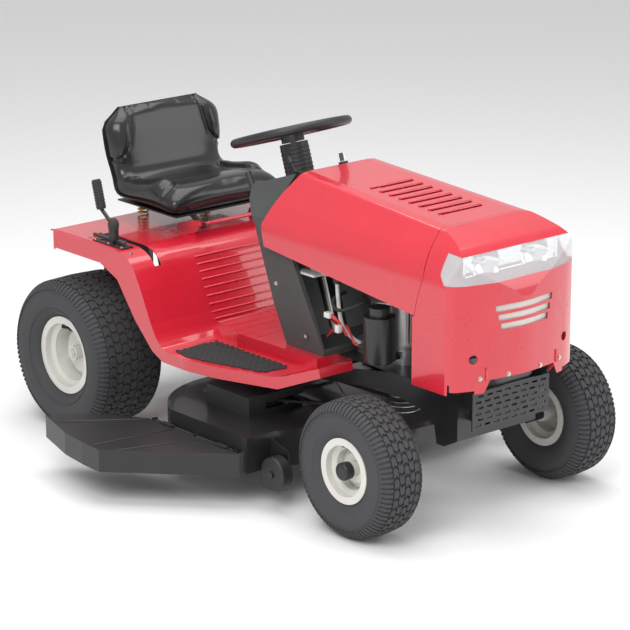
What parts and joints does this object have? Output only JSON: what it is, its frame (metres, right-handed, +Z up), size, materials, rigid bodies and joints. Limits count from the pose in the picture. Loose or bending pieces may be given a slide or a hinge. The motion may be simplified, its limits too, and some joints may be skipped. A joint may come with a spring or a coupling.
{
  "type": "riding lawn mower",
  "caption": "Ride-on mower with a front engine under a tilting hood, steered front wheels, sprung seat, lever controls and a belt-driven cutting deck with a side chute.",
  "frame": {"origin": "centre of the whole machine's bounding box, on the ground under the tyres", "axes": "+X forward towards the grille, +Y to the driver's left, +Z up"},
  "size_m": [1.7354, 1.359, 1.0087],
  "materials": {
    "red_paint": "gloss",
    "black_paint": "satin",
    "cream_paint": "satin",
    "tyre_rubber": "matte",
    "black_rubber": "matte",
    "grey_plastic": "matte",
    "black_plastic": "satin",
    "tank_plastic": "satin",
    "seat_vinyl": "gloss",
    "steel": "brushed",
    "spring_brass": "satin",
    "cast_alloy": "cast",
    "cast_grey": "cast",
    "wire_red": "satin",
    "lens_clear": "clear",
    "reflector_silver": "polished"
  },
  "bodies": {
    "chassis": {"frame": "black_paint", "transaxle": "cast_grey", "fender_body": "red_paint", "foot_pads": "black_rubber", "dash_pedestal": "grey_plastic", "dash_fittings": "black_plastic", "lever_quadrant": "black_plastic", "seat_bracket": "red_paint", "fuel_tank": "tank_plastic", "engine_block": "cast_alloy", "blower_housing": "black_plastic", "muffler": "steel", "starter_motor": "black_paint", "starter_cable": "wire_red", "drive_belt": "black_rubber", "bumper_plate": "black_paint"},
    "front_axle": {"front_axle_beam": "black_paint"},
    "steering": {"steering_shaft": "steel", "steering_wheel": "black_plastic"},
    "steering_sector": {"steering_sector": "steel"},
    "drag_link": {"drag_link": "steel"},
    "tie_rod": {"tie_rod": "steel"},
    "deck": {"deck_shell": "black_paint", "spindle_housings": "cast_grey", "belt_covers": "black_plastic", "deck_belt": "black_rubber"},
    "lift_lever": {"lift_lever": "black_paint"},
    "chute_deflector": {"chute_deflector": "black_plastic"},
    "engine_pulley": {"engine_pulley": "steel"},
    "transaxle_pulley": {"transaxle_pulley": "steel"},
    "hood": {"hood_panel": "red_paint", "grille_shell": "red_paint", "headlight_lens": "lens_clear", "headlight_reflector": "reflector_silver"},
    "seat": {"seat_pan": "black_plastic", "seat_cushion": "seat_vinyl", "seat_springs": "spring_brass"},
    "shift_lever": {"shift_lever": "black_plastic"},
    "brake_pedal": {"brake_pedal": "black_paint"},
    "pto_lever": {"pto_lever": "black_plastic"},
    "throttle_lever": {"throttle_lever": "black_plastic"},
    "ignition_key": {"ignition_key": "steel"},
    "rear_wheel_right": {"rear_tyre_right": "tyre_rubber", "rear_rim_right": "cream_paint", "rear_axle_shaft_right": "steel"},
    "knuckle_right": {"front_spindle_right": "black_paint"},
    "front_wheel_right": {"front_tyre_right": "tyre_rubber", "front_rim_right": "cream_paint"},
    "blade_right": {"blade_shaft_right": "steel", "blade_right": "steel"},
    "gauge_wheel_right": {"gauge_wheel_right": "black_plastic"},
    "rear_wheel_left": {"rear_tyre_left": "tyre_rubber", "rear_rim_left": "cream_paint", "rear_axle_shaft_left": "steel"},
    "knuckle_left": {"front_spindle_left": "black_paint"},
    "front_wheel_left": {"front_tyre_left": "tyre_rubber", "front_rim_left": "cream_paint"},
    "blade_left": {"blade_shaft_left": "steel", "blade_left": "steel"},
    "gauge_wheel_left": {"gauge_wheel_left": "black_plastic"}
  },
  "joints": [
    {"name": "front_axle_pivot", "type": "hinge", "parent": "chassis", "child": "front_axle", "pos_m": [0.61175, 0.1015, 0.236], "axis": [1, 0, 0], "range_deg": [-6, 6]},
    {"name": "knuckle_right_turn", "type": "hinge", "parent": "front_axle", "child": "knuckle_right", "pos_m": [0.61175, -0.1685, 0.236], "axis": [0, 0, 1], "range_deg": [-32, 32]},
    {"name": "knuckle_left_turn", "type": "hinge", "parent": "front_axle", "child": "knuckle_left", "pos_m": [0.61175, 0.3715, 0.236], "axis": [0, 0, 1], "range_deg": [-32, 32]},
    {"name": "front_wheel_right_spin", "type": "hinge", "parent": "knuckle_right", "child": "front_wheel_right", "pos_m": [0.61175, -0.2735, 0.1905], "axis": [0, 1, 0], "continuous": true},
    {"name": "rear_wheel_right_spin", "type": "hinge", "parent": "chassis", "child": "rear_wheel_right", "pos_m": [-0.63925, -0.2665, 0.2285], "axis": [0, 1, 0], "continuous": true},
    {"name": "front_wheel_left_spin", "type": "hinge", "parent": "knuckle_left", "child": "front_wheel_left", "pos_m": [0.61175, 0.4765, 0.1905], "axis": [0, 1, 0], "continuous": true},
    {"name": "rear_wheel_left_spin", "type": "hinge", "parent": "chassis", "child": "rear_wheel_left", "pos_m": [-0.63925, 0.4695, 0.2285], "axis": [0, 1, 0], "continuous": true},
    {"name": "tie_rod_turn", "type": "hinge", "parent": "knuckle_right", "child": "tie_rod", "pos_m": [0.55175, -0.1685, 0.21], "axis": [0, 0, 1], "range_deg": [-32, 32]},
    {"name": "drag_link_turn", "type": "hinge", "parent": "knuckle_right", "child": "drag_link", "pos_m": [0.55175, -0.1685, 0.216], "axis": [0, 0, 1], "range_deg": [-32, 32]},
    {"name": "steering_sector_turn", "type": "hinge", "parent": "chassis", "child": "steering_sector", "pos_m": [0.04331, 0.1015, 0.33067], "axis": [-0.3256, 0, 0.9455], "range_deg": [-32, 32]},
    {"name": "steering_turn", "type": "hinge", "parent": "chassis", "child": "steering", "pos_m": [-0.11925, 0.1015, 0.941], "axis": [-0.3256, 0, 0.9455], "range_deg": [-128, 128]},
    {"name": "deck_lift", "type": "slide", "parent": "chassis", "child": "deck", "axis": [0, 0, 1], "range_m": [-0.05, 0], "deforming": ["deck_belt"]},
    {"name": "lift_lever_turn", "type": "hinge", "parent": "chassis", "child": "lift_lever", "pos_m": [-0.44925, 0.1015, 0.312], "axis": [0, 1, 0], "range_deg": [0, 31.3]},
    {"name": "blade_right_spin", "type": "hinge", "parent": "deck", "child": "blade_right", "pos_m": [0.03075, -0.1305, 0.18], "axis": [0, 0, 1], "continuous": true},
    {"name": "gauge_wheel_right_spin", "type": "hinge", "parent": "deck", "child": "gauge_wheel_right", "pos_m": [0.32075, -0.3255, 0.104], "axis": [0, 1, 0], "continuous": true},
    {"name": "blade_left_spin", "type": "hinge", "parent": "deck", "child": "blade_left", "pos_m": [0.03075, 0.3995, 0.18], "axis": [0, 0, 1], "continuous": true},
    {"name": "gauge_wheel_left_spin", "type": "hinge", "parent": "deck", "child": "gauge_wheel_left", "pos_m": [0.32075, 0.5945, 0.104], "axis": [0, 1, 0], "continuous": true},
    {"name": "chute_deflector_hinge", "type": "hinge", "parent": "deck", "child": "chute_deflector", "pos_m": [0.04225, -0.3935, 0.158], "axis": [-1, 0, 0], "range_deg": [0, 80]},
    {"name": "engine_pulley_spin", "type": "hinge", "parent": "chassis", "child": "engine_pulley", "pos_m": [0.37075, 0.1015, 0.25], "axis": [0, 0, 1], "continuous": true},
    {"name": "transaxle_pulley_spin", "type": "hinge", "parent": "chassis", "child": "transaxle_pulley", "pos_m": [-0.59925, 0.1015, 0.252], "axis": [0, 0, 1], "continuous": true},
    {"name": "hood_hinge", "type": "hinge", "parent": "chassis", "child": "hood", "pos_m": [0.81675, 0.1015, 0.42], "axis": [0, 1, 0], "range_deg": [0, 60]},
    {"name": "seat_hinge", "type": "hinge", "parent": "chassis", "child": "seat", "pos_m": [-0.37725, 0.1015, 0.632], "axis": [0, 1, 0], "range_deg": [0, 50]},
    {"name": "shift_lever_turn", "type": "hinge", "parent": "chassis", "child": "shift_lever", "pos_m": [-0.46725, -0.2905, 0.54], "axis": [0, 1, 0], "range_deg": [-10, 10]},
    {"name": "brake_pedal_press", "type": "hinge", "parent": "chassis", "child": "brake_pedal", "pos_m": [0.20075, 0.3495, 0.316], "axis": [0, 1, 0], "range_deg": [0, 20], "stiffness_Nm_per_rad": 30, "springref_deg": -11.46},
    {"name": "pto_lever_turn", "type": "hinge", "parent": "chassis", "child": "pto_lever", "pos_m": [-0.07325, -0.0485, 0.734], "axis": [0, -1, 0], "range_deg": [0, 30]},
    {"name": "throttle_lever_turn", "type": "hinge", "parent": "chassis", "child": "throttle_lever", "pos_m": [0.01404, 0.0055, 0.86104], "axis": [0, 1, 0], "range_deg": [-20, 20]},
    {"name": "ignition_key_turn", "type": "hinge", "parent": "chassis", "child": "ignition_key", "pos_m": [0.00648, 0.1935, 0.85844], "axis": [-0.3256, 0, 0.9455], "range_deg": [-60, 0]}
  ],
  "couplings": [
    {"joint": "knuckle_left_turn", "follows": "knuckle_right_turn", "ratio": 1},
    {"joint": "tie_rod_turn", "follows": "knuckle_right_turn", "ratio": -1},
    {"joint": "drag_link_turn", "follows": "knuckle_right_turn", "ratio": -1},
    {"joint": "steering_sector_turn", "follows": "knuckle_right_turn", "ratio": 1},
    {"joint": "steering_turn", "follows": "knuckle_right_turn", "ratio": 4},
    {"joint": "lift_lever_turn", "follows": "deck_lift", "rad_per_m": -10.891},
    {"joint": "transaxle_pulley_spin", "follows": "engine_pulley_spin", "ratio": 0.5},
    {"joint": "blade_right_spin", "follows": "engine_pulley_spin", "ratio": 0.83333},
    {"joint": "blade_left_spin", "follows": "engine_pulley_spin", "ratio": 0.83333}
  ]
}
